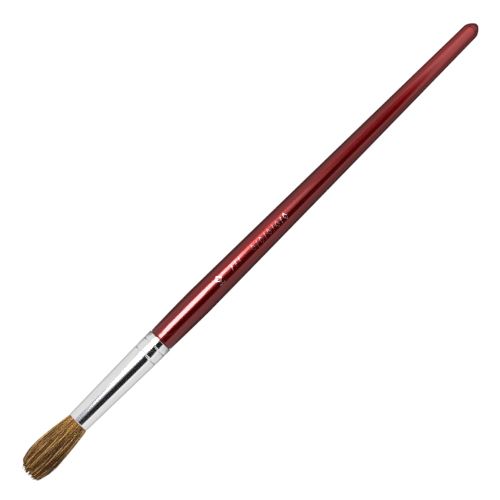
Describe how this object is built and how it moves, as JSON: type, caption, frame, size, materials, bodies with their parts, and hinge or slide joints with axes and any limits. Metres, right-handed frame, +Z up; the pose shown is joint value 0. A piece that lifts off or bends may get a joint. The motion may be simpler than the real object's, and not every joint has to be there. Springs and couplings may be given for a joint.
{
  "type": "paint brush",
  "caption": "Round artist's paint brush: tapered lacquered wooden handle, crimped metal ferrule and a blunt round hair tuft that flexes.",
  "frame": {"origin": "below the middle of the brush's length, on the plane the widest point of the hair rests on", "axes": "+X along the brush from the hair to the handle's end, +Z up, the brush lying on its side"},
  "size_m": [0.24, 0.0122, 0.0123],
  "materials": {
    "handle_lacquer": "gloss",
    "ferrule_metal": "polished",
    "adhesive": "satin",
    "thread": "matte",
    "hair": "satin"
  },
  "bodies": {
    "handle_and_ferrule": {"handle": "handle_lacquer", "ferrule": "ferrule_metal", "root_adhesive": "adhesive", "root_binding_thread": "thread", "hair_root": "hair"},
    "heel": {"tuft_heel": "hair"},
    "lower_belly": {"tuft_lower_belly": "hair"},
    "upper_belly": {"tuft_upper_belly": "hair"},
    "tip": {"tuft_tip": "hair"}
  },
  "joints": [
    {"name": "heel_lift", "type": "hinge", "parent": "handle_and_ferrule", "child": "heel", "pos_m": [-0.094, 0, 0.00613], "axis": [0, 1, 0], "range_deg": [-20, 20], "stiffness_Nm_per_rad": 0.004},
    {"name": "belly_swing", "type": "hinge", "parent": "heel", "child": "lower_belly", "pos_m": [-0.0996, 0, 0.00613], "axis": [0, 0, 1], "range_deg": [-20, 20], "stiffness_Nm_per_rad": 0.003},
    {"name": "belly_lift", "type": "hinge", "parent": "lower_belly", "child": "upper_belly", "pos_m": [-0.1052, 0, 0.00613], "axis": [0, 1, 0], "range_deg": [-20, 20], "stiffness_Nm_per_rad": 0.002},
    {"name": "tip_swing", "type": "hinge", "parent": "upper_belly", "child": "tip", "pos_m": [-0.1106, 0, 0.00613], "axis": [0, 0, 1], "range_deg": [-20, 20], "stiffness_Nm_per_rad": 0.001}
  ],
  "couplings": [
    {"joint": "belly_lift", "follows": "heel_lift", "ratio": 1},
    {"joint": "tip_swing", "follows": "belly_swing", "ratio": 1}
  ]
}
